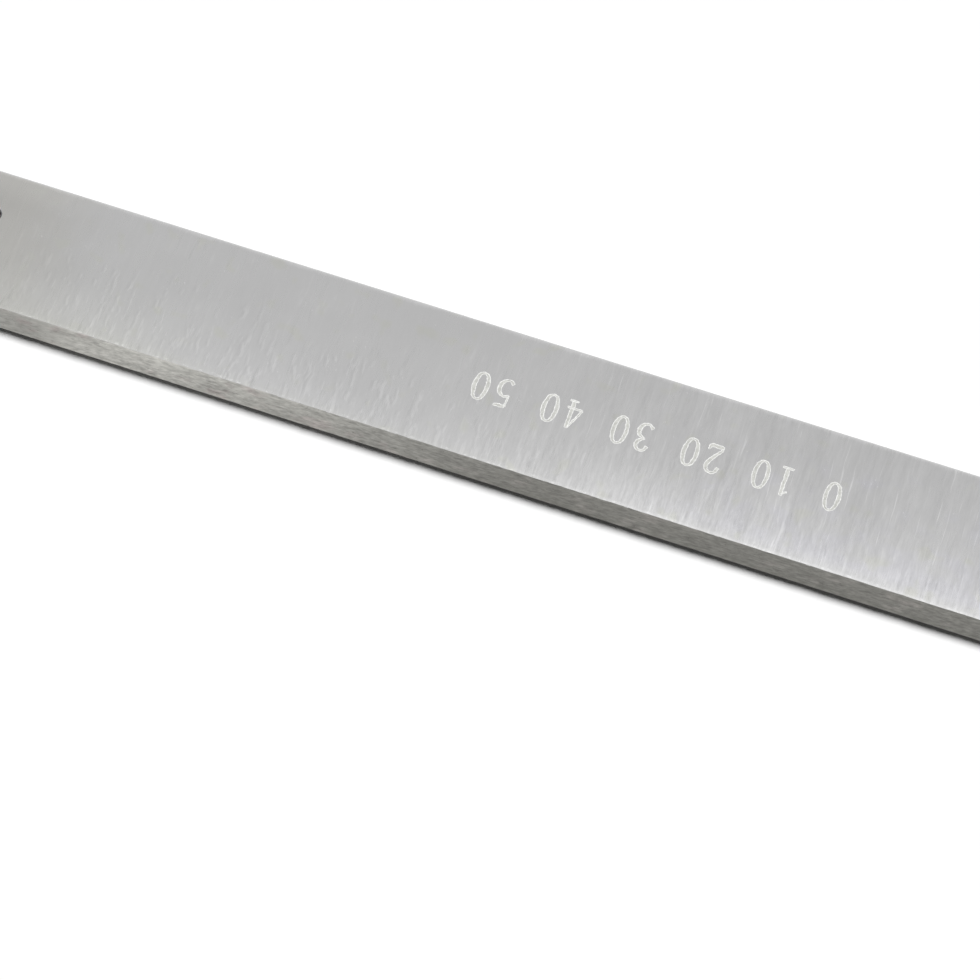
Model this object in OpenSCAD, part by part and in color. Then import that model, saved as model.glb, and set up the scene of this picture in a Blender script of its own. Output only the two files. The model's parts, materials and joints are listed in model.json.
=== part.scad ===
// Planer knife: a flat strip of tool steel with one ground cutting bevel.
// Millimetres. The knife lies on its plain face with the bevel and the marked
// face up. The cutting edge runs along -Y, the heel is on +Y, and the length
// runs along X. The origin is on the plain face, at the middle of the blank.

/* [Blank] */
// Length of the knife, end to end
knife_length = 210; // [120:1:410]
// Width of the knife, from the cutting edge to the heel
knife_width = 16.5; // [14:0.1:30]
// Thickness of the blank
knife_thickness = 1.5; // [1:0.1:3]

/* [Cutting edge] */
// Angle between the ground bevel and the plain face, in degrees
bevel_angle = 45; // [35:1:60]

/* [Edge breaks] */
// Chamfer along both edges of the heel
heel_break = 0.2; // [0.1:0.05:0.4]
// Chamfer along the edges of both ends and on the heel corners
end_break = 0.12; // [0.05:0.01:0.3]

/* [Locating holes] */
// Diameter of the two locating holes
hole_diameter = 2; // [1.5:0.1:5]
// Distance from each end of the knife to the centre of its hole
hole_from_end = 31.4; // [10:0.1:50]
// Distance from the heel to the centre of each hole
hole_from_heel = 5.1; // [3.5:0.1:6]
// Chamfer around both mouths of each hole
hole_break = 0.12; // [0.05:0.01:0.3]

/* [Hidden] */
$fn = 96;
steel = [0.72, 0.72, 0.71];
// Overshoot of the cutting shapes past the faces that they cut
over = 1;
half_length = knife_length / 2;
heel_y = knife_width / 2;
edge_y = -knife_width / 2;
// Where the bevel comes out on the top face
bevel_top_y = edge_y + knife_thickness / tan(bevel_angle);
hole_x = half_length - hole_from_end;
hole_y = heel_y - hole_from_heel;

// Section across the knife, drawn as (Y, Z): the plain face, the chamfered
// heel, the top face, and the bevel that runs down to the keen edge.
module cross_section() {
    polygon([
        [edge_y, 0],
        [heel_y - heel_break, 0],
        [heel_y, heel_break],
        [heel_y, knife_thickness - heel_break],
        [heel_y - heel_break, knife_thickness],
        [bevel_top_y, knife_thickness]
    ]);
}

// Section along the knife, drawn as (X, Z): both ends with broken edges.
module long_section() {
    polygon([
        [-half_length + end_break, 0],
        [half_length - end_break, 0],
        [half_length, end_break],
        [half_length, knife_thickness - end_break],
        [half_length - end_break, knife_thickness],
        [-half_length + end_break, knife_thickness],
        [-half_length, knife_thickness - end_break],
        [-half_length, end_break]
    ]);
}

// Outline from above, drawn as (X, Y): square, with broken heel corners.
module plan_outline() {
    polygon([
        [-half_length, edge_y],
        [half_length, edge_y],
        [half_length, heel_y - end_break],
        [half_length - end_break, heel_y],
        [-half_length + end_break, heel_y],
        [-half_length, heel_y - end_break]
    ]);
}

// The ground blank: what the two sections and the outline have in common.
module ground_blank() {
    intersection() {
        translate([-half_length, 0, 0])
            rotate([90, 0, 90])
                linear_extrude(height = knife_length)
                    cross_section();
        translate([0, heel_y, 0])
            rotate([90, 0, 0])
                linear_extrude(height = knife_width)
                    long_section();
        linear_extrude(height = knife_thickness)
            plan_outline();
    }
}

// The cutter for one locating hole: a through bore and its two chamfers.
module hole_cutter() {
    mouth = hole_break + over;
    translate([0, 0, -over])
        cylinder(d = hole_diameter, h = knife_thickness + 2 * over);
    for (top = [0, 1])
        translate([0, 0, knife_thickness / 2])
            mirror([0, 0, 1 - top])
                translate([0, 0, knife_thickness / 2 - hole_break])
                    cylinder(
                        d1 = hole_diameter,
                        d2 = hole_diameter + 2 * mouth,
                        h = mouth
                    );
}

// The knife, in bright ground steel.
module knife() {
    color(steel)
        difference() {
            ground_blank();
            for (side = [-1, 1])
                translate([side * hole_x, hole_y, 0])
                    hole_cutter();
        }
}

knife();
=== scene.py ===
"""Looks of a planer knife: ground faces, ground bevel, etched numbers and the studio around it."""

import json
import math
import random

import bpy
import bmesh
from bpy.props import (
    FloatProperty,
    FloatVectorProperty,
    IntProperty,
    PointerProperty,
    StringProperty,
)
from bpy.types import Operator, Panel, PropertyGroup
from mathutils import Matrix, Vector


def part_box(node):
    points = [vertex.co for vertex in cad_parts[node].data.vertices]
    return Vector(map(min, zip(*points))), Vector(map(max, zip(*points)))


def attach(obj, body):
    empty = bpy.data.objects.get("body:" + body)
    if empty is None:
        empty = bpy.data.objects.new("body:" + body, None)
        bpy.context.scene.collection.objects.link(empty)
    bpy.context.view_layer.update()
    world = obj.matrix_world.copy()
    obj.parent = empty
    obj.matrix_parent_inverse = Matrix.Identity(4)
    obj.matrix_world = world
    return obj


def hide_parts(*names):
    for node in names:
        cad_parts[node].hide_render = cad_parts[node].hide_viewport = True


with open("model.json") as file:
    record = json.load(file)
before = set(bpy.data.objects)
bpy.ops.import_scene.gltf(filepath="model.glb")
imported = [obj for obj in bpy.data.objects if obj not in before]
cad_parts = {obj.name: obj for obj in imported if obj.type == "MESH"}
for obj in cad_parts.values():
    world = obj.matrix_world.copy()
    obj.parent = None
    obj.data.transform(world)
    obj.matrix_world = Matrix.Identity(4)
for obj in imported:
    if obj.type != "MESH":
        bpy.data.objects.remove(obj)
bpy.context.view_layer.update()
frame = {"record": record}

bl_info = {
    "name": "Planer knife",
    "version": (1, 0, 0),
    "blender": (4, 5, 0),
    "location": "3D View > Sidebar > Planer knife",
    "description": "Builds a ground steel planer knife and its studio stage",
    "category": "Object",
}

MM = 0.001
KNIFE_LOW, KNIFE_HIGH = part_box("knife")
BORE = next(m for m in frame["record"]["mounts"] if m["name"] == "locating_hole_right")


# Settings

class KnifeSizes(PropertyGroup):
    """Sizes of the knife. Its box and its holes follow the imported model."""

    length: FloatProperty(
        name="Length", description="Length, end to end", unit="LENGTH",
        default=KNIFE_HIGH[0] - KNIFE_LOW[0])
    width: FloatProperty(
        name="Width", description="From the cutting edge to the heel", unit="LENGTH",
        default=KNIFE_HIGH[1] - KNIFE_LOW[1])
    thickness: FloatProperty(
        name="Thickness", description="Thickness of the blank", unit="LENGTH",
        default=KNIFE_HIGH[2] - KNIFE_LOW[2])
    bevel_angle: FloatProperty(
        name="Bevel angle", description="Between the ground bevel and the plain face",
        subtype="ANGLE", default=math.radians(45))
    heel_break: FloatProperty(
        name="Heel break", description="Chamfer along the heel", unit="LENGTH",
        default=0.2 * MM, precision=5)
    end_break: FloatProperty(
        name="End break", description="Rounding at both ends", unit="LENGTH",
        default=0.12 * MM, precision=5)
    crest_break: FloatProperty(
        name="Crest break", description="Rounding where the bevel meets the face",
        unit="LENGTH", default=0.04 * MM, precision=5)
    crest_waver: FloatProperty(
        name="Crest waver", description="How far the crest of the bevel wanders",
        unit="LENGTH", default=0.10 * MM, precision=5)
    waver_size: FloatProperty(
        name="Waver size", description="Length of one wave of the crest",
        unit="LENGTH", default=0.9 * MM, precision=5)
    hole_radius: FloatProperty(
        name="Hole radius", description="Radius of the locating holes", unit="LENGTH",
        default=BORE["dims"]["r_mm"] * MM, precision=5)
    hole_break: FloatProperty(
        name="Hole break", description="Chamfer at the mouths of the holes",
        unit="LENGTH", default=0.12 * MM, precision=5)


class MarkSizes(PropertyGroup):
    """The row of etched numbers."""

    text: StringProperty(
        name="Numbers", description="Plain numbers, etched in one row",
        default="0 10 20 30 40 50")
    pitch: FloatProperty(
        name="Pitch", description="From one figure to the next", unit="LENGTH",
        default=2.49 * MM, precision=5)
    height: FloatProperty(
        name="Height", description="Height of the figures", unit="LENGTH",
        default=3.25 * MM, precision=5)
    centre_y: FloatProperty(
        name="Row position", description="Middle of the row, towards the heel",
        unit="LENGTH", default=1.15 * MM, precision=5)
    line: FloatProperty(
        name="Line width", description="Half the width of one etched line",
        unit="LENGTH", default=0.055 * MM, precision=6)
    flatness: FloatProperty(
        name="Flatness", description="Height of an etched line over its half width",
        default=0.12, min=0.01)
    depth: FloatProperty(
        name="Fill height", description="Height of the etched fill", unit="LENGTH",
        default=0.004 * MM, precision=6)
    weight: FloatProperty(
        name="Weight", description="Boldness of the strokes", default=0.95, min=0.1)
    tremble: FloatProperty(
        name="Tremble", description="Unsteadiness of the lines, over their height",
        default=0.006, min=0, precision=4)
    seed: IntProperty(name="Seed", description="Seed of the tremble", default=7)


class SteelLook(PropertyGroup):
    """Colours and roughness of the steel, and the painted reflection on its face and bevel."""

    face: FloatVectorProperty(
        name="Face", description="Colour of the ground face", subtype="COLOR",
        size=3, default=(0.476, 0.475, 0.476), min=0, max=1)
    face_warm: FloatVectorProperty(
        name="Face, warm end", description="Colour of the face's warmer end",
        subtype="COLOR", size=3, default=(0.456, 0.450, 0.433), min=0, max=1)
    # The cool patches are the tint of the painted reflection where it is brightest.
    face_cool: FloatVectorProperty(
        name="Face, cool patches", description="Colour of the brightest patches",
        subtype="COLOR", size=3, default=(0.477, 0.475, 0.491), min=0, max=1)
    # The oily spot colour also gives the creamy tint of the painted reflection by the bevel.
    face_stain_and_sheen: FloatVectorProperty(
        name="Face, oily spots", description="Colour of the face's faint oily spots",
        subtype="COLOR", size=3, default=(0.470, 0.471, 0.447), min=0, max=1)
    # The glow is a painted reflection: brightness painted into the face colour beside the bevel.
    glow_left: FloatProperty(
        name="Glow, left", description="Extra brightness beside the bevel, on the left",
        default=0.17, min=0, max=1)
    glow_right: FloatProperty(
        name="Glow, right", description="Extra brightness beside the bevel, on the right",
        default=0.41, min=0, max=1)
    glow_end: FloatProperty(
        name="Glow, far right", description="What the far right adds to the glow",
        default=0.09, min=0, max=1)
    glow_half: FloatProperty(
        name="Glow reach", description="Millimetres over which the glow halves",
        default=3.0, min=0.1)
    bevel: FloatVectorProperty(
        name="Bevel", description="Colour of the ground bevel", subtype="COLOR",
        size=3, default=(0.20, 0.197, 0.182), min=0, max=1)
    # The bevel's bright end is the colour of a painted reflection on its left part.
    bevel_reflecting: FloatVectorProperty(
        name="Bevel, bright end", description="Colour of the bevel's brighter end",
        subtype="COLOR", size=3, default=(0.39, 0.385, 0.361), min=0, max=1)
    bevel_rosy: FloatVectorProperty(
        name="Bevel, rosy patches", description="Colour of the bevel's warmer patches",
        subtype="COLOR", size=3, default=(0.375, 0.345, 0.330), min=0, max=1)
    mark: FloatVectorProperty(
        name="Etching", description="Colour of the etched lines", subtype="COLOR",
        size=3, default=(0.81, 0.812, 0.795), min=0, max=1)
    mark_fill: FloatVectorProperty(
        name="Etching, fill", description="Colour inside the etched outlines",
        subtype="COLOR", size=3, default=(0.66, 0.662, 0.63), min=0, max=1)
    mark_dim: FloatVectorProperty(
        name="Etching, thin", description="Colour where the etching is thin",
        subtype="COLOR", size=3, default=(0.515, 0.516, 0.49), min=0, max=1)
    face_roughness: FloatProperty(
        name="Face roughness", description="Roughness of the ground face", default=0.28,
        min=0, max=1)
    bevel_roughness: FloatProperty(
        name="Bevel roughness", description="Roughness of the ground bevel",
        default=0.36, min=0, max=1)
    edge_roughness: FloatProperty(
        name="Edge roughness", description="Roughness of the heel, ends and hole walls",
        default=0.34, min=0, max=1)
    mark_roughness: FloatProperty(
        name="Etching roughness", description="Roughness of the etching", default=0.8,
        min=0, max=1)


class StageLook(PropertyGroup):
    """Camera, lamp, sky and floor."""

    azimuth: FloatProperty(
        name="Azimuth", description="Camera direction round the knife",
        subtype="ANGLE", default=math.radians(19.24))
    elevation: FloatProperty(
        name="Elevation", description="Camera height above the horizon",
        subtype="ANGLE", default=math.radians(66.47))
    distance: FloatProperty(
        name="Distance", description="Camera to its aim", unit="LENGTH",
        default=301.6 * MM, precision=4)
    aim: FloatVectorProperty(
        name="Aim", description="Point that the camera looks at", subtype="XYZ",
        unit="LENGTH", size=3, default=(-14.18 * MM, -8.85 * MM, 0.0))
    picture_px: IntProperty(
        name="Picture width", description="Width of the picture, in pixels", default=980)
    focal_px: FloatProperty(
        name="Focal length", description="Focal length, in pixels of the picture",
        default=2988.0)
    key: FloatProperty(
        name="Key lamp", description="Strength of the lamp behind the knife",
        default=5.9, min=0)
    key_elevation: FloatProperty(
        name="Key elevation", description="Height of the lamp above the horizon",
        subtype="ANGLE", default=math.radians(33.8))
    key_azimuth: FloatProperty(
        name="Key azimuth", description="Lamp direction, from straight behind",
        subtype="ANGLE", default=math.radians(12))
    key_size: FloatProperty(
        name="Key size", description="Apparent size of the lamp", subtype="ANGLE",
        default=math.radians(12))
    ambient: FloatProperty(
        name="Ambient", description="Strength of the sky on matt surfaces",
        default=0.026, min=0)
    floor_size: FloatProperty(
        name="Floor size", description="Length of each side of the floor",
        unit="LENGTH", default=6.0)
    floor_gap: FloatProperty(
        name="Floor gap", description="From the knife down to the floor",
        unit="LENGTH", default=0.01 * MM, precision=6)
    floor: FloatVectorProperty(
        name="Floor", description="Colour of the floor", subtype="COLOR", size=3,
        default=(0.95, 0.95, 0.95), min=0, max=1)


def crest_place(sizes):
    """Y at which the bevel comes out on the marked face."""
    return -sizes.width / 2 + sizes.thickness / math.tan(sizes.bevel_angle)


# Shader tools

class Link:
    """A shader socket that works in plain arithmetic."""

    def __init__(self, finish, socket):
        self.finish = finish
        self.socket = socket

    def _math(self, operation, first, second):
        return self.finish.node(
            "ShaderNodeMath", {"operation": operation}, {0: first, 1: second})

    def __add__(self, other):
        return self._math("ADD", self, other)

    def __radd__(self, other):
        return self._math("ADD", other, self)

    def __sub__(self, other):
        return self._math("SUBTRACT", self, other)

    def __rsub__(self, other):
        return self._math("SUBTRACT", other, self)

    def __mul__(self, other):
        return self._math("MULTIPLY", self, other)

    def __rmul__(self, other):
        return self._math("MULTIPLY", other, self)

    def __rpow__(self, other):
        return self._math("POWER", other, self)


class Finish:
    """One node tree and the nodes that are made in it."""

    def __init__(self, tree):
        self.tree = tree
        tree.nodes.clear()

    def node(self, kind, settings=None, inputs=None, output=0):
        """A new node. Its settings come first, then the values or links of its sockets."""
        made = self.tree.nodes.new(kind)
        for name, value in (settings or {}).items():
            setattr(made, name, value)
        for name, value in (inputs or {}).items():
            if isinstance(value, Link):
                self.tree.links.new(value.socket, made.inputs[name])
            else:
                made.inputs[name].default_value = value
        return Link(self, made.outputs[output]) if made.outputs else None

    def place(self):
        """Object coordinates, in millimetres."""
        coordinates = self.node("ShaderNodeTexCoord", output="Object")
        return self.node(
            "ShaderNodeVectorMath", {"operation": "SCALE"},
            {0: coordinates, "Scale": 1 / MM})

    def axis(self, vector, name):
        return self.node("ShaderNodeSeparateXYZ", None, {0: vector}, output=name)

    def ramp(self, value, low, high, to_low=0.0, to_high=1.0):
        """Smooth step of value from low to high."""
        return self.node(
            "ShaderNodeMapRange", {"interpolation_type": "SMOOTHSTEP", "clamp": True},
            {0: value, 1: low, 2: high, 3: to_low, 4: to_high})

    def noise(self, vector, size, turn=0.0, detail=2.0, rough=0.5, shift=0.0):
        """Noise with features of a size along X, Y and Z, turned. Shift picks a pattern."""
        turned = self.node(
            "ShaderNodeMapping", {"vector_type": "TEXTURE"},
            {"Vector": vector, "Location": (shift, shift, shift),
             "Rotation": (0, 0, turn), "Scale": size})
        return self.node(
            "ShaderNodeTexNoise", {"noise_dimensions": "3D"},
            {"Vector": turned, "Scale": 1.0, "Detail": detail, "Roughness": rough})

    def moved(self, vector, step):
        return self.node(
            "ShaderNodeVectorMath", {"operation": "ADD"}, {0: vector, 1: step})

    def bend(self, vector, size, amount):
        """The vector, pushed along X by soft noise, so that lines run less straight."""
        push = self.noise(vector, (size, size, size), detail=1.0, shift=71.0)
        step = self.node(
            "ShaderNodeCombineXYZ", None, {"X": (push - 0.5) * (2 * amount)})
        return self.moved(vector, step)

    def mix(self, factor, first, second):
        return self.node(
            "ShaderNodeMix", {"data_type": "RGBA", "clamp_factor": True},
            {0: factor, 6: first, 7: second}, output=2)

    def tint(self, colour, gain):
        """Colour times a number that varies."""
        return self.node(
            "ShaderNodeVectorMath", {"operation": "SCALE"}, {0: colour, "Scale": gain})

    def bump(self, height, distance, strength):
        return self.node(
            "ShaderNodeBump", None,
            {"Height": height, "Distance": distance, "Strength": strength})

    def larger(self, first, second):
        return self.node(
            "ShaderNodeMath", {"operation": "MAXIMUM"}, {0: first, 1: second})

    def surface(self, inputs):
        shader = self.node("ShaderNodeBsdfPrincipled", None, inputs)
        self.node("ShaderNodeOutputMaterial", None, {"Surface": shader})


def new_material(name):
    material = bpy.data.materials.new(name)
    material.use_nodes = True
    return material, Finish(material.node_tree)


def rgba(colour):
    return (*colour, 1.0)


# Materials

# Turn of the grinding marks on the face, away from straight across the knife
GRIND_TURN = math.radians(1.2)
# Depth of the grinding marks, as bump
MARK_DEPTH = 0.004 * MM

# Where along the knife a look comes in: the X at which it starts and the X at
# which it is full, in millimetres. Falling pairs come in towards the left.
LIVELY_MARKS = (-24.0, 4.0)
# STRONG_GLOW and END_GLOW place the painted reflection beside the bevel.
STRONG_GLOW = (-35.0, 13.0)
END_GLOW = (0.0, 44.0)
# COOL_GLOW and CREAMY_GLOW place the tints of the painted reflection.
COOL_GLOW = (-4.0, 14.0)
CREAMY_GLOW = (-44.0, -58.0)
CHATTERED_FACE = (-72.0, -60.0)
WARM_FACE = (-60.0, -72.0)
SHADED_FACE = (-56.0, -74.0)
# Where the painted reflection on the bevel comes in.
REFLECTING_BEVEL = (-7.0, -47.0)
DULL_BEVEL = (-57.0, -65.0)
# A painted reflection patch on the bevel lies between these two.
REFLECTION_FROM_LEFT = (-67.0, -59.0)
REFLECTION_FROM_RIGHT = (-42.0, -54.0)
# The same for the shaded face across the knife, as two Y: it fades towards the heel
SHADED_ACROSS = (7.6, 4.6)


class FacePatterns:
    """Patterns and regions of the ground face, which its marks and colours share."""

    def __init__(self, f, look, sizes):
        p = f.place()
        bent = f.bend(p, 4.0, 0.25)
        self.place, self.bent = p, bent
        self.x, self.y = f.axis(p, "X"), f.axis(p, "Y")
        self.from_crest = self.y - crest_place(sizes) / MM
        self.hair = f.noise(bent, (0.2, 1.4, 1.0), GRIND_TURN, detail=3.0, rough=0.75)
        self.streak = f.noise(bent, (0.5, 3.4, 1.0), GRIND_TURN, rough=0.6, shift=11.0)
        self.long_streak = f.noise(p, (0.45, 16.0, 1.0), -GRIND_TURN, detail=1.0, shift=23.0)
        self.band = f.noise(bent, (1.1, 6.0, 1.0), GRIND_TURN, rough=0.6, shift=13.0)
        self.lump = f.noise(bent, (0.8, 1.1, 1.0), turn=0.3, detail=3.0, rough=0.85, shift=61.0)
        self.cloud = f.noise(p, (8.0, 5.0, 3.0), turn=0.2, shift=31.0)
        self.patch = f.noise(p, (3.0, 2.0, 3.0), shift=47.0)
        self.right = f.ramp(self.x, *LIVELY_MARKS)
        self.near = 0.5 ** (
            self.from_crest * (1 / look.glow_half) + (self.streak - 0.5) * 0.8)
        # The glow: a painted reflection, brightness painted into the face colour that fades away
        # from the bevel.
        self.glow = self.near * (
            look.glow_left
            + f.ramp(self.x, *STRONG_GLOW) * (look.glow_right - look.glow_left)
            + f.ramp(self.x, *END_GLOW) * look.glow_end
        )


def scratches(f, face):
    """Bright and dark scratches, in patches that are denser near the bevel."""
    marks = f.ramp(face.streak, 0.56, 0.72) - f.ramp(face.streak, 0.42, 0.26) * 0.7
    return marks * f.ramp(face.cloud + face.near * 0.20, 0.46, 0.62)


def chatter(f, face):
    """Short bright furrows, each with a painted shadow on one flank, within reach of the bevel."""
    wavy = f.bend(face.place, 1.6, 0.22)
    bright, dark = [
        f.ramp(f.noise(at, (0.42, 2.4, 1.0), GRIND_TURN, rough=0.6, shift=37.0), 0.56, 0.64)
        for at in (wavy, f.moved(wavy, (0.3, 0, 0)))]
    # dark, the same furrows set aside, is the painted shadow beside each bright furrow.
    marks = bright - dark * 0.55
    marks = marks * f.ramp(face.from_crest + (face.cloud - 0.5) * 16.0, 8.5, 4.0)
    return marks * f.ramp(face.x, *CHATTERED_FACE, to_low=0.3)


def rays(f, face):
    """Long thin bright lines, gathered in bands."""
    lines = f.noise(face.bent, (0.17, 6.0, 1.0), GRIND_TURN, detail=1.0, shift=91.0)
    return f.ramp(lines, 0.64, 0.74) * f.ramp(face.band, 0.44, 0.58)


def nicks(f, face):
    """Tiny bright nicks, in a few patches."""
    dots = f.noise(face.place, (0.16, 0.34, 1.0), turn=0.5, detail=1.0, shift=5.0)
    return f.ramp(dots, 0.68, 0.78) * f.ramp(face.patch, 0.57, 0.66)


def crest_glints(f, face):
    """Short broken lengths of the painted highlight along the crest."""
    lumps = f.noise(face.place, (0.40, 0.24, 1.0), turn=0.3, rough=0.6, shift=67.0)
    return f.ramp(lumps, 0.54, 0.64)


def face_brightness(f, face, sizes):
    """What the face's colour is multiplied by: each mark, the painted reflection, painted
    highlights and painted shade, times its strength.
    """
    right, near = face.right, face.near
    hair, lump = face.hair - 0.5, face.lump - 0.5
    heel = (sizes.width / 2 - sizes.heel_break) / MM
    grain = hair * 0.9 + (face.long_streak - 0.5) * 0.5
    # A painted highlight along the crest, on the lip that grinding leaves.
    lip_highlight = f.ramp(face.from_crest + hair * 0.7 + lump * 0.9, 0.40, 0.10)
    # A painted highlight along the face's edge at the heel.
    heel_highlight = f.ramp(face.y + hair * 0.5 + (face.patch - 0.5) * 0.5, heel - 0.42, heel + 0.12)
    shaded = f.ramp(face.x, *SHADED_FACE) * f.ramp(face.y, *SHADED_ACROSS)
    return (
        0.992
        + face.glow
        + scratches(f, face) * (0.05 + right * 0.02 + near * 0.13)
        + chatter(f, face) * (0.095 - right * 0.025)
        + grain * (0.035 + right * 0.17 + near * (0.22 + right * 0.36))
        + (face.band - 0.5) * (0.03 + right * 0.17)
        + lump * near * near * (0.14 + right * 0.44)
        + rays(f, face) * (0.03 + right * 0.17)
        + nicks(f, face) * 0.20
        + lip_highlight * (0.05 + right * 0.12)
        + lip_highlight * crest_glints(f, face) * 0.26
        + heel_highlight * 0.18
        - shaded * 0.08
        + (face.cloud - 0.5) * 0.09
    )


def face_colour(f, face, look):
    """Warm at the left end, cool in the painted reflection, creamy in oily spots and, as a tint of
    the painted reflection, by the bevel.
    """
    x, patch = face.x, face.patch - 0.5
    warm = f.ramp(x + patch * 6.0, *WARM_FACE)
    # Cool: the tint of the painted reflection, where it is bright.
    cool = f.ramp(face.glow + patch * 0.8, 0.06, 0.32) * f.ramp(x, *COOL_GLOW)
    cool = cool * f.ramp(face.from_crest, 0.2, 1.6)
    spots = f.noise(face.place, (2.2, 2.2, 2.2), detail=1.0, shift=83.0)
    # Creamy: a tint of the painted reflection, by the bevel and towards the left.
    creamy = (
        face.near * f.ramp(x + patch * 12.0, *CREAMY_GLOW)
        + f.ramp(face.from_crest, 1.3, 0.2) * (1 - face.right) * 0.4
    )
    stain_and_sheen = f.ramp(spots, 0.60, 0.74) * 0.8 + creamy * 0.6
    colour = f.mix(warm, rgba(look.face), rgba(look.face_warm))
    colour = f.mix(cool, colour, rgba(look.face_cool))
    return f.mix(stain_and_sheen, colour, rgba(look.face_stain_and_sheen))


def face_material(look, sizes):
    """Ground face: marks run across the knife, denser near the bevel, where a painted reflection
    makes the face brighter.
    """
    material, f = new_material("ground_face")
    face = FacePatterns(f, look, sizes)
    f.surface({
        "Base Color": f.tint(face_colour(f, face, look), face_brightness(f, face, sizes)),
        "Metallic": 1.0,
        "Roughness": look.face_roughness + (face.streak - 0.5) * 0.06,
        "Normal": f.bump(face.hair * 0.5 + face.streak * 0.5, MARK_DEPTH, 0.15),
    })
    return material


def bevel_material(look, sizes):
    """Ground bevel: darker, mottled, with marks along the edge and a painted reflection towards
    its left end.
    """
    material, f = new_material("ground_bevel")
    p = f.place()
    x, z = f.axis(p, "X"), f.axis(p, "Z")
    top = sizes.thickness / MM

    hair = f.noise(p, (0.9, 0.12, 0.12), turn=0.05, detail=3.0, rough=0.65)
    mottle = f.noise(p, (1.1, 0.28, 0.28), turn=0.08, detail=4.0, rough=0.65, shift=5.0)
    dots = f.noise(p, (0.30, 0.16, 0.16), turn=0.2, detail=1.0, shift=53.0)
    pits = f.ramp(dots, 0.68, 0.80)
    blotch = f.noise(p, (6.0, 2.5, 2.5), shift=17.0)
    hue = f.noise(p, (3.0, 1.2, 1.2), turn=0.1, shift=41.0)

    # left: a painted reflection, brighter and more mottled towards the bevel's left end.
    left = f.ramp(x + (blotch - 0.5) * 10.0, *REFLECTING_BEVEL)
    # A painted reflection: a brighter patch on the bevel's left part.
    reflection_patch = f.ramp(x, *REFLECTION_FROM_LEFT) * f.ramp(x, *REFLECTION_FROM_RIGHT)
    dull = f.ramp(x, *DULL_BEVEL)
    # A painted highlight along the keen edge.
    keen_edge_highlight = f.ramp(z + (hair - 0.5) * 0.1, 0.12, 0.02)
    # crest: brighter just below the crest, where the painted reflection on the left is.
    crest = f.ramp(z + (mottle - 0.5) * 0.2, top - 0.16, top - 0.02)

    gain = (
        1.0
        + (hair - 0.5) * (1 - dull * 0.5)
        + (mottle - 0.5) * (0.95 + left * 0.45) * (1 - dull * 0.5)
        + (blotch - 0.5) * (0.14 + left * 0.60) * (1 - dull * 0.8)
        - pits * 0.30
        + reflection_patch * 0.12
        - dull * 0.17
        + (z * (1 / top) - 0.45) * 0.12
        + keen_edge_highlight * 0.10
        + crest * left * 0.15
    )
    rosy = f.ramp(hue, 0.52, 0.70) * (0.3 + left * 0.7)
    colour = f.mix(left, rgba(look.bevel), rgba(look.bevel_reflecting))
    colour = f.mix(rosy, colour, rgba(look.bevel_rosy))
    f.surface({
        "Base Color": f.tint(colour, gain),
        "Metallic": 1.0,
        "Roughness": look.bevel_roughness + (mottle - 0.5) * 0.12,
        "Normal": f.bump(hair - pits * 0.5, MARK_DEPTH, 0.4),
    })
    return material


def edge_material(look, sizes):
    """Heel, ends and hole walls: linished, with a painted highlight where the edges are broken."""
    material, f = new_material("linished_edges")
    p = f.place()
    z = f.axis(p, "Z")
    low = sizes.heel_break / MM
    high = sizes.thickness / MM - low
    marks = f.noise(p, (2.2, 0.12, 0.12), detail=3.0, rough=0.6, shift=3.0)
    # broken: a painted highlight on the chamfered and rounded edges.
    broken = f.ramp(z, low, low - 0.02) + f.ramp(z, high, high + 0.02)
    gain = 0.80 + (marks - 0.5) * 0.35 + broken * 0.38
    f.surface({
        "Base Color": f.tint(look.face, gain),
        "Metallic": 1.0,
        "Roughness": look.edge_roughness + (marks - 0.5) * 0.1,
        "Normal": f.bump(marks, MARK_DEPTH, 0.3),
    })
    return material


def mark_material(look):
    """Etched outlines: pale, frosted, a little uneven."""
    material, f = new_material("etched_lines")
    grain = f.noise(f.place(), (0.25, 0.25, 0.25), rough=0.6)
    f.surface({
        "Base Color": f.tint(look.mark, 0.5 + grain),
        "Metallic": 0.0,
        "Roughness": look.mark_roughness,
    })
    return material


def mark_fill_material(look):
    """Etched strokes inside their outlines: creamy, and patchy where steel shows."""
    material, f = new_material("etched_strokes")
    grain = f.noise(f.place(), (0.35, 0.35, 0.35), detail=3.0, rough=0.7, shift=9.0)
    colour = f.mix(f.ramp(grain, 0.36, 0.64), rgba(look.mark_dim), rgba(look.mark_fill))
    f.surface({
        "Base Color": colour,
        "Metallic": 0.0,
        "Roughness": look.mark_roughness,
    })
    return material


# Modelling tools

# Points closer than this are merged, in metres
MERGE_BELOW = 1e-7
# Lengths that differ by less than this count as equal, in metres
SAME_BELOW = 1e-6


def deselect():
    bpy.ops.object.select_all(action="DESELECT")


def work_with(piece):
    piece.select_set(True)
    bpy.context.view_layer.objects.active = piece


def work_on(piece):
    deselect()
    work_with(piece)


def select_edges(piece, wanted):
    """In edit mode: selects the edges whose two ends satisfy wanted."""
    bpy.ops.mesh.select_all(action="DESELECT")
    mesh = bmesh.from_edit_mesh(piece.data)
    mesh.select_mode = {"EDGE"}
    for edge in mesh.edges:
        edge.select_set(wanted(edge.verts[0].co, edge.verts[1].co))
    mesh.select_flush_mode()
    bmesh.update_edit_mesh(piece.data)


def near_to(value, target):
    return abs(value - target) < SAME_BELOW


def bevel_edges(offset, segments):
    bpy.ops.mesh.bevel(
        offset_type="OFFSET", offset=offset, segments=segments, profile=0.5,
        affect="EDGES", clamp_overlap=True)


def apply_place():
    bpy.ops.object.transform_apply(location=True, rotation=True, scale=True)


# The knife

# Cuts that divide a long edge, and then each of its parts again
CUTS = 20
HOLE_SIDES = 64
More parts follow.
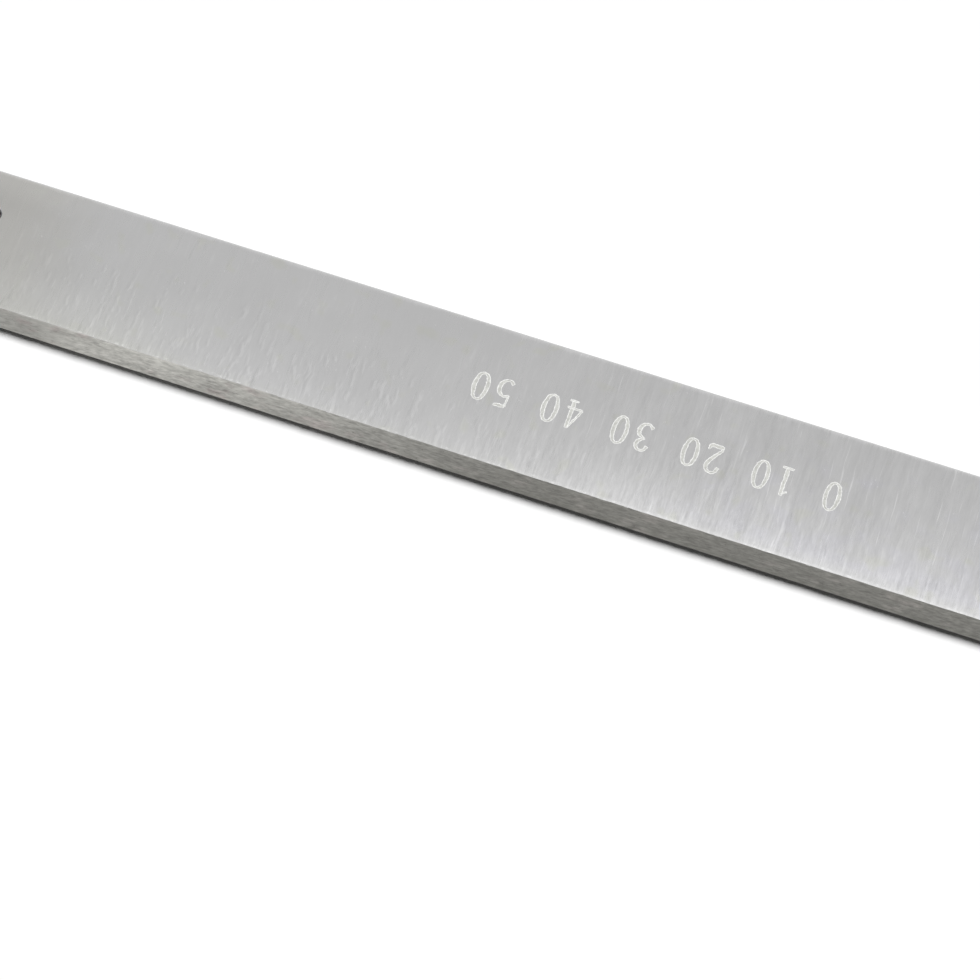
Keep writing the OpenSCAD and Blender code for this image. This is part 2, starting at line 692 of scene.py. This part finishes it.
# Faces that meet at less than this angle are shaded as one
SMOOTH_BELOW = math.radians(28)
# Material slots of the blade
FACE_SLOT, BEVEL_SLOT, EDGE_SLOT = range(3)
# A normal's upward share on a level face, and each of its two shares on the bevel
LEVEL, SLANTED = 0.98, 0.3


class KNIFE_OT_blade(Operator):
    """Model the knife: bevel, edge breaks, wavering crest and locating holes"""

    bl_idname = "planer_knife.blade"
    bl_label = "Blade"

    def execute(self, context):
        sizes = context.scene.knife_sizes
        look = context.scene.steel_look
        blade = self.blank(sizes)
        self.grind_bevel(blade, sizes)
        self.break_edges(blade, sizes)
        self.divide(blade, sizes)
        self.waver(blade, sizes)
        self.drill(blade, sizes)
        self.dress(blade, sizes, look)
        self.shade(blade)
        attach(blade, "root")
        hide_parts("knife")
        return {"FINISHED"}

    def blank(self, sizes):
        deselect()
        bpy.ops.mesh.primitive_cube_add(
            size=1, location=(0, 0, sizes.thickness / 2),
            scale=(sizes.length, sizes.width, sizes.thickness))
        blade = bpy.context.object
        blade.name = blade.data.name = "blade"
        apply_place()
        return blade

    def grind_bevel(self, blade, sizes):
        """Cut the blank along the bevel, down to the keen edge."""
        work_on(blade)
        bpy.ops.object.mode_set(mode="EDIT")
        bpy.ops.mesh.select_all(action="SELECT")
        angle = sizes.bevel_angle
        bpy.ops.mesh.bisect(
            plane_co=(0, -sizes.width / 2, 0),
            plane_no=(0, -math.sin(angle), math.cos(angle)),
            use_fill=True, clear_outer=True, threshold=MERGE_BELOW)
        bpy.ops.mesh.select_all(action="SELECT")
        bpy.ops.mesh.remove_doubles(threshold=MERGE_BELOW)
        bpy.ops.mesh.normals_make_consistent(inside=False)
        bpy.ops.object.mode_set(mode="OBJECT")

    def break_edges(self, blade, sizes):
        """Chamfer the heel, and round the crest and both ends. The keen edge stays."""
        heel, end = sizes.width / 2, sizes.length / 2
        crest, top = crest_place(sizes), sizes.thickness
        work_on(blade)
        bpy.ops.object.mode_set(mode="EDIT")
        select_edges(blade, lambda a, b: near_to(a.y, heel) and near_to(b.y, heel)
                     and near_to(a.z, b.z))
        bevel_edges(sizes.heel_break, 1)
        select_edges(blade, lambda a, b: near_to(a.y, crest) and near_to(b.y, crest)
                     and near_to(a.z, top) and near_to(b.z, top))
        bevel_edges(sizes.crest_break, 2)
        select_edges(blade, lambda a, b: near_to(abs(a.x), end) and near_to(a.x, b.x)
                     and not (near_to(a.z, 0) and near_to(b.y, a.y)))
        bevel_edges(sizes.end_break, 2)
        bpy.ops.object.mode_set(mode="OBJECT")

    def divide(self, blade, sizes):
        """Cut the edges along the knife into short ones, for the waver of the crest."""
        work_on(blade)
        bpy.ops.object.mode_set(mode="EDIT")
        for longest in (sizes.length, sizes.length / (CUTS + 1)):
            # The broken ends make the edges a little shorter than that.
            select_edges(blade, lambda a, b: abs(a.x - b.x) > 0.9 * longest
                         and near_to(a.y, b.y) and near_to(a.z, b.z))
            bpy.ops.mesh.subdivide(number_cuts=CUTS)
        bpy.ops.object.mode_set(mode="OBJECT")

    def waver(self, blade, sizes):
        """Let the crest wander a little, as grinding leaves it."""
        crest, reach = crest_place(sizes), 2 * sizes.crest_break
        group = blade.vertex_groups.new(name="crest")
        chosen = [
            v.index for v in blade.data.vertices
            if abs(v.co.y - crest) < reach and v.co.z > sizes.thickness - reach
            and abs(v.co.x) < sizes.length / 2 - 2 * sizes.end_break]
        group.add(chosen, 1.0, "REPLACE")
        clouds = bpy.data.textures.new("crest_waver", "CLOUDS")
        clouds.noise_scale = sizes.waver_size
        clouds.noise_depth = 3
        work_on(blade)
        modifier = blade.modifiers.new("waver", "DISPLACE")
        modifier.texture = clouds
        modifier.texture_coords = "LOCAL"
        modifier.direction = "Y"
        modifier.vertex_group = "crest"
        modifier.mid_level = 0.5
        modifier.strength = sizes.crest_waver
        bpy.ops.object.modifier_apply(modifier=modifier.name)
        blade.vertex_groups.clear()

    def drill(self, blade, sizes):
        """Cut both locating holes with copies of one plug."""
        cutter = self.cutter(sizes)
        x, y = BORE["pos_m"][0], BORE["pos_m"][1]
        for side in (-1, 1):
            copy = cutter.copy()
            copy.data = cutter.data.copy()
            bpy.context.collection.objects.link(copy)
            copy.location = (side * x, y, 0)
            work_on(blade)
            modifier = blade.modifiers.new("hole", "BOOLEAN")
            modifier.operation = "DIFFERENCE"
            modifier.solver = "EXACT"
            modifier.object = copy
            bpy.ops.object.modifier_apply(modifier=modifier.name)
            bpy.data.objects.remove(copy)
        bpy.data.objects.remove(cutter)

    def cutter(self, sizes):
        """A plug for one hole: straight in the middle, flared at both mouths."""
        deselect()
        middle = sizes.thickness / 2
        straight = sizes.thickness - 2 * sizes.hole_break
        bpy.ops.mesh.primitive_cylinder_add(
            vertices=HOLE_SIDES, radius=sizes.hole_radius, depth=straight,
            location=(0, 0, middle))
        plug = bpy.context.object
        apply_place()
        flare = 1 + 2 * sizes.hole_break / sizes.hole_radius
        bpy.ops.object.mode_set(mode="EDIT")
        for side in (-1, 1):
            bpy.ops.mesh.select_all(action="DESELECT")
            mesh = bmesh.from_edit_mesh(plug.data)
            for face in mesh.faces:
                # Only the end face lies half the straight part out from the middle.
                out = side * (face.calc_center_median().z - middle)
                face.select_set(out > straight * 0.49)
            bmesh.update_edit_mesh(plug.data)
            step = side * 2 * sizes.hole_break
            bpy.ops.mesh.extrude_region_move(
                TRANSFORM_OT_translate={"value": (0, 0, step)})
            bpy.ops.transform.resize(
                value=(flare, flare, 1), center_override=(0, 0, middle))
        bpy.ops.object.mode_set(mode="OBJECT")
        return plug

    def dress(self, blade, sizes, look):
        """Give the flat faces, the bevel and the edges their own finishes."""
        for material in (face_material(look, sizes), bevel_material(look, sizes),
                         edge_material(look, sizes)):
            blade.data.materials.append(material)
        crest = crest_place(sizes)
        for face in blade.data.polygons:
            normal = face.normal
            if abs(normal.z) > LEVEL:
                face.material_index = FACE_SLOT
            elif normal.z > SLANTED and normal.y < -SLANTED and face.center.y < crest:
                face.material_index = BEVEL_SLOT
            else:
                face.material_index = EDGE_SLOT

    def shade(self, blade):
        """Shade the rounded edges smooth and the ground faces level."""
        work_on(blade)
        bpy.ops.object.shade_smooth_by_angle(angle=SMOOTH_BELOW)
        modifier = blade.modifiers.new("level_faces", "WEIGHTED_NORMAL")
        modifier.weight = 100
        modifier.keep_sharp = True
        bpy.ops.object.modifier_apply(modifier=modifier.name)


# The numbers

# Each figure is a list of strokes in a cell one high. A stroke is True where its
# two ends join, and a list of (across, up, half width).
FIGURES = {
    "0": [(True, [(0.28, 0.965, 0.025), (0.42, 0.86, 0.045), (0.485, 0.5, 0.062),
                  (0.42, 0.14, 0.045), (0.28, 0.035, 0.025), (0.14, 0.14, 0.045),
                  (0.075, 0.5, 0.062), (0.14, 0.86, 0.045)])],
    "1": [(False, [(0.29, 0.985, 0.05), (0.29, 0.5, 0.055), (0.29, 0.04, 0.055)]),
          (False, [(0.12, 0.83, 0.015), (0.21, 0.88, 0.025), (0.29, 0.975, 0.02)]),
          (False, [(0.12, 0.03, 0.025), (0.29, 0.03, 0.03), (0.46, 0.03, 0.025)])],
    "2": [(False, [(0.08, 0.74, 0.05), (0.14, 0.90, 0.04), (0.28, 0.965, 0.03),
                   (0.43, 0.88, 0.05), (0.45, 0.70, 0.06), (0.34, 0.47, 0.05),
                   (0.17, 0.24, 0.035), (0.08, 0.10, 0.03)]),
          (False, [(0.07, 0.045, 0.045), (0.28, 0.045, 0.05), (0.47, 0.055, 0.05),
                   (0.52, 0.20, 0.015)])],
    "3": [(False, [(0.09, 0.79, 0.045), (0.15, 0.92, 0.035), (0.29, 0.965, 0.03),
                   (0.42, 0.87, 0.05), (0.41, 0.68, 0.05), (0.23, 0.54, 0.02)]),
          (False, [(0.23, 0.54, 0.02), (0.42, 0.45, 0.05), (0.46, 0.25, 0.06),
                   (0.37, 0.08, 0.045), (0.20, 0.035, 0.03), (0.07, 0.15, 0.05)])],
    "4": [(False, [(0.36, 0.98, 0.02), (0.20, 0.64, 0.025), (0.05, 0.29, 0.02)]),
          (False, [(0.05, 0.28, 0.025), (0.28, 0.28, 0.03), (0.53, 0.28, 0.025)]),
          (False, [(0.38, 0.98, 0.05), (0.38, 0.5, 0.055), (0.38, 0.05, 0.055)]),
          (False, [(0.24, 0.03, 0.02), (0.38, 0.03, 0.025), (0.52, 0.03, 0.02)])],
    "5": [(False, [(0.13, 0.945, 0.04), (0.30, 0.945, 0.05), (0.47, 0.965, 0.03)]),
          (False, [(0.13, 0.94, 0.02), (0.115, 0.74, 0.02), (0.10, 0.54, 0.02)]),
          (False, [(0.10, 0.54, 0.02), (0.26, 0.61, 0.035), (0.42, 0.50, 0.055),
                   (0.46, 0.28, 0.06), (0.37, 0.09, 0.045), (0.20, 0.035, 0.03),
                   (0.07, 0.13, 0.05)])],
}
FIGURE_WIDTH = 0.56
# Points on the smooth line from one point of a stroke to the next
CURVE_STEPS = 6
# An etched line's thinnest place and what chance adds to it, over its line width
THINNEST, THICKER = 0.7, 0.6
# How much lower each stroke's fill lies than the last one's, over the fill height
FILL_STEP = 0.1
# Faces of an etched line that meet at less than this angle are shaded as one
LINE_SMOOTH_BELOW = math.radians(40)


def entry(items, i, closed):
    """Item i, counted on round a closed line and held at the ends of an open one."""
    count = len(items)
    return items[i % count] if closed else items[min(max(i, 0), count - 1)]


def smooth_points(points, closed):
    """Points on a smooth line through the given ones."""
    made = []
    for i in range(len(points) if closed else len(points) - 1):
        a, b, c, d = (entry(points, i + k, closed) for k in (-1, 0, 1, 2))
        for step in range(CURVE_STEPS):
            t = step / CURVE_STEPS
            made.append(tuple(
                0.5 * (2 * b[k] + (c[k] - a[k]) * t
                       + (2 * a[k] - 5 * b[k] + 4 * c[k] - d[k]) * t * t
                       + (3 * b[k] - a[k] - 3 * c[k] + d[k]) * t ** 3)
                for k in range(3)))
    if not closed:
        made.append(points[-1])
    return made


def stroke_outlines(points, closed, weight):
    """The edges of a stroke, as closed loops: two where its ends join, otherwise one."""
    line = smooth_points(points, closed)
    left, right = [], []
    for i, (x, y, half) in enumerate(line):
        half *= weight
        before, after = entry(line, i - 1, closed), entry(line, i + 1, closed)
        dx, dy = after[0] - before[0], after[1] - before[1]
        size = math.hypot(dx, dy) or 1.0
        left.append((x - dy / size * half, y + dx / size * half))
        right.append((x + dy / size * half, y - dx / size * half))
    return [left, right] if closed else [left + right[::-1]]


class KNIFE_OT_numbers(Operator):
    """Etch a row of plain numbers into the face, as thin outlined figures"""

    bl_idname = "planer_knife.numbers"
    bl_label = "Etched numbers"

    def execute(self, context):
        sizes = context.scene.knife_sizes
        mark = context.scene.mark_sizes
        look = context.scene.steel_look
        outlines = self.outlines(mark)
        fills = self.fills(outlines, sizes, mark, look)
        row = self.drawing(
            "etched_numbers", [loop for _, loop in outlines], mark_material(look))
        row.data.bevel_depth = mark.line
        row.data.bevel_resolution = 1
        row = self.as_mesh(row, sizes, mark, mark.flatness)
        deselect()
        for fill in fills:
            fill.select_set(True)
        work_with(row)
        bpy.ops.object.join()
        bpy.ops.object.shade_smooth_by_angle(angle=LINE_SMOOTH_BELOW)
        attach(row, "root")
        return {"FINISHED"}

    def outlines(self, mark):
        """Closed outlines of all strokes, each after its stroke's number in the figure."""
        tremble = random.Random(mark.seed)
        first = (len(mark.text) - 1) / 2
        made = []
        for i, sign in enumerate(mark.text):
            middle = (i - first) * mark.pitch
            for number, (closed, points) in enumerate(FIGURES.get(sign, ())):
                for loop in stroke_outlines(points, closed, mark.weight):
                    made.append((number, [
                        (middle + (x - FIGURE_WIDTH / 2 + tremble.gauss(0, mark.tremble))
                         * mark.height,
                         (y - 0.5 + tremble.gauss(0, mark.tremble)) * mark.height,
                         THINNEST + THICKER * tremble.random())
                        for x, y in loop]))
        return made

    def fills(self, outlines, sizes, mark, look):
        """The insides of the strokes, in drawings that hold no two strokes of a figure."""
        material = mark_fill_material(look)
        made = []
        for number in range(max(number for number, _ in outlines) + 1):
            fill = self.drawing(
                "etched_fill", [loop for n, loop in outlines if n == number], material)
            fill.data.dimensions = "2D"
            fill.data.fill_mode = "BOTH"
            fill.data.extrude = mark.depth * (1 - FILL_STEP * number)
            made.append(self.as_mesh(fill, sizes, mark, 1))
        return made

    def drawing(self, name, loops, material):
        """Closed lines with the given points, as (across, up, thickness)."""
        deselect()
        bpy.ops.curve.primitive_bezier_curve_add(location=(0, 0, 0))
        made = bpy.context.object
        made.name = made.data.name = name
        made.data.splines.clear()
        for loop in loops:
            spline = made.data.splines.new("POLY")
            spline.points.add(len(loop) - 1)
            spline.use_cyclic_u = True
            for point, (x, y, radius) in zip(spline.points, loop):
                point.co = (x, y, 0, 1)
                point.radius = radius
        made.data.materials.append(material)
        return made

    def as_mesh(self, drawn, sizes, mark, flatness):
        """The drawing as a mesh on the face, upside down to a reader at the bevel."""
        work_on(drawn)
        bpy.ops.object.convert(target="MESH")
        made = bpy.context.object
        made.location = (0, mark.centre_y, sizes.thickness)
        made.scale = (1, 1, flatness)
        made.rotation_euler = (0, 0, math.pi)
        apply_place()
        return made


# The stage

# Width of the camera's sensor, in millimetres
SENSOR = 36


class KNIFE_OT_stage(Operator):
    """Set the floor, the lamp, the sky and the camera"""

    bl_idname = "planer_knife.stage"
    bl_label = "Stage"

    def execute(self, context):
        stage = context.scene.stage_look
        context.scene.view_settings.view_transform = "Standard"
        self.camera(context, stage)
        self.floor(stage)
        self.lamp(stage)
        self.sky(context, stage)
        return {"FINISHED"}

    def camera(self, context, stage):
        az, el = stage.azimuth, stage.elevation
        back = (math.sin(az) * math.cos(el), -math.cos(az) * math.cos(el), math.sin(el))
        place = [a + b * stage.distance for a, b in zip(stage.aim, back)]
        bpy.ops.object.camera_add(
            location=place, rotation=(math.pi / 2 - el, 0, az))
        camera = context.object
        camera.name = "photo_camera"
        camera.data.sensor_fit = "HORIZONTAL"
        camera.data.sensor_width = SENSOR
        camera.data.lens = stage.focal_px / stage.picture_px * SENSOR
        camera.data.clip_start = 0.01
        camera.data.clip_end = 20
        context.scene.camera = camera

    def floor(self, stage):
        deselect()
        bpy.ops.mesh.primitive_plane_add(
            size=stage.floor_size, location=(0, 0, -stage.floor_gap))
        floor = bpy.context.object
        floor.name = "floor"
        material, f = new_material("white_floor")
        shader = f.node(
            "ShaderNodeBsdfDiffuse", None, {"Color": rgba(stage.floor)})
        f.node("ShaderNodeOutputMaterial", None, {"Surface": shader})
        floor.data.materials.append(material)

    def lamp(self, stage):
        """A broad sun behind the knife. Its place is only where its icon stands."""
        bpy.ops.object.light_add(
            type="SUN", location=(0, 0.5, 0.5),
            rotation=(-(math.pi / 2 - stage.key_elevation), 0, stage.key_azimuth))
        lamp = bpy.context.object
        lamp.name = "key_lamp"
        lamp.data.energy = stage.key
        lamp.data.angle = stage.key_size
        # The metal mirrors the sky alone, so that no view of it blows out.
        lamp.visible_glossy = False

    def sky(self, context, stage):
        """White to the camera and in mirrors, and dim as a light on matt surfaces."""
        world = bpy.data.worlds.new("studio")
        world.use_nodes = True
        context.scene.world = world
        f = Finish(world.node_tree)
        seen, glossy, through = [
            f.node("ShaderNodeLightPath", output=ray)
            for ray in ("Is Camera Ray", "Is Glossy Ray", "Is Transmission Ray")]
        shown = f.larger(seen, f.larger(glossy, through))
        strength = stage.ambient + shown * (1 - stage.ambient)
        sky = f.node(
            "ShaderNodeBackground", None, {"Color": (1, 1, 1, 1), "Strength": strength})
        f.node("ShaderNodeOutputWorld", None, {"Surface": sky})


# The panel

class KNIFE_PT_panel(Panel):
    """Sidebar panel of the planer knife"""

    bl_idname = "KNIFE_PT_panel"
    bl_label = "Planer knife"
    bl_space_type = "VIEW_3D"
    bl_region_type = "UI"
    bl_category = "Planer knife"

    def draw(self, context):
        for name in GROUPS:
            box = self.layout.box()
            box.label(text=name.replace("_", " ").capitalize())
            group = getattr(context.scene, name)
            for key in group.bl_rna.properties.keys():
                if key not in ("rna_type", "name"):
                    box.prop(group, key)
        for operator in STEPS:
            self.layout.operator(operator.bl_idname)


GROUPS = {
    "knife_sizes": KnifeSizes,
    "mark_sizes": MarkSizes,
    "steel_look": SteelLook,
    "stage_look": StageLook,
}
STEPS = (KNIFE_OT_stage, KNIFE_OT_blade, KNIFE_OT_numbers)


def register():
    for made in (*GROUPS.values(), *STEPS, KNIFE_PT_panel):
        bpy.utils.register_class(made)
    for name, group in GROUPS.items():
        setattr(bpy.types.Scene, name, PointerProperty(type=group))


def unregister():
    for name in GROUPS:
        delattr(bpy.types.Scene, name)
    for made in (KNIFE_PT_panel, *reversed(STEPS), *reversed(list(GROUPS.values()))):
        bpy.utils.unregister_class(made)


def main():
    register()
    bpy.ops.planer_knife.stage()
    bpy.ops.planer_knife.blade()
    bpy.ops.planer_knife.numbers()


if __name__ == "__main__":
    main()
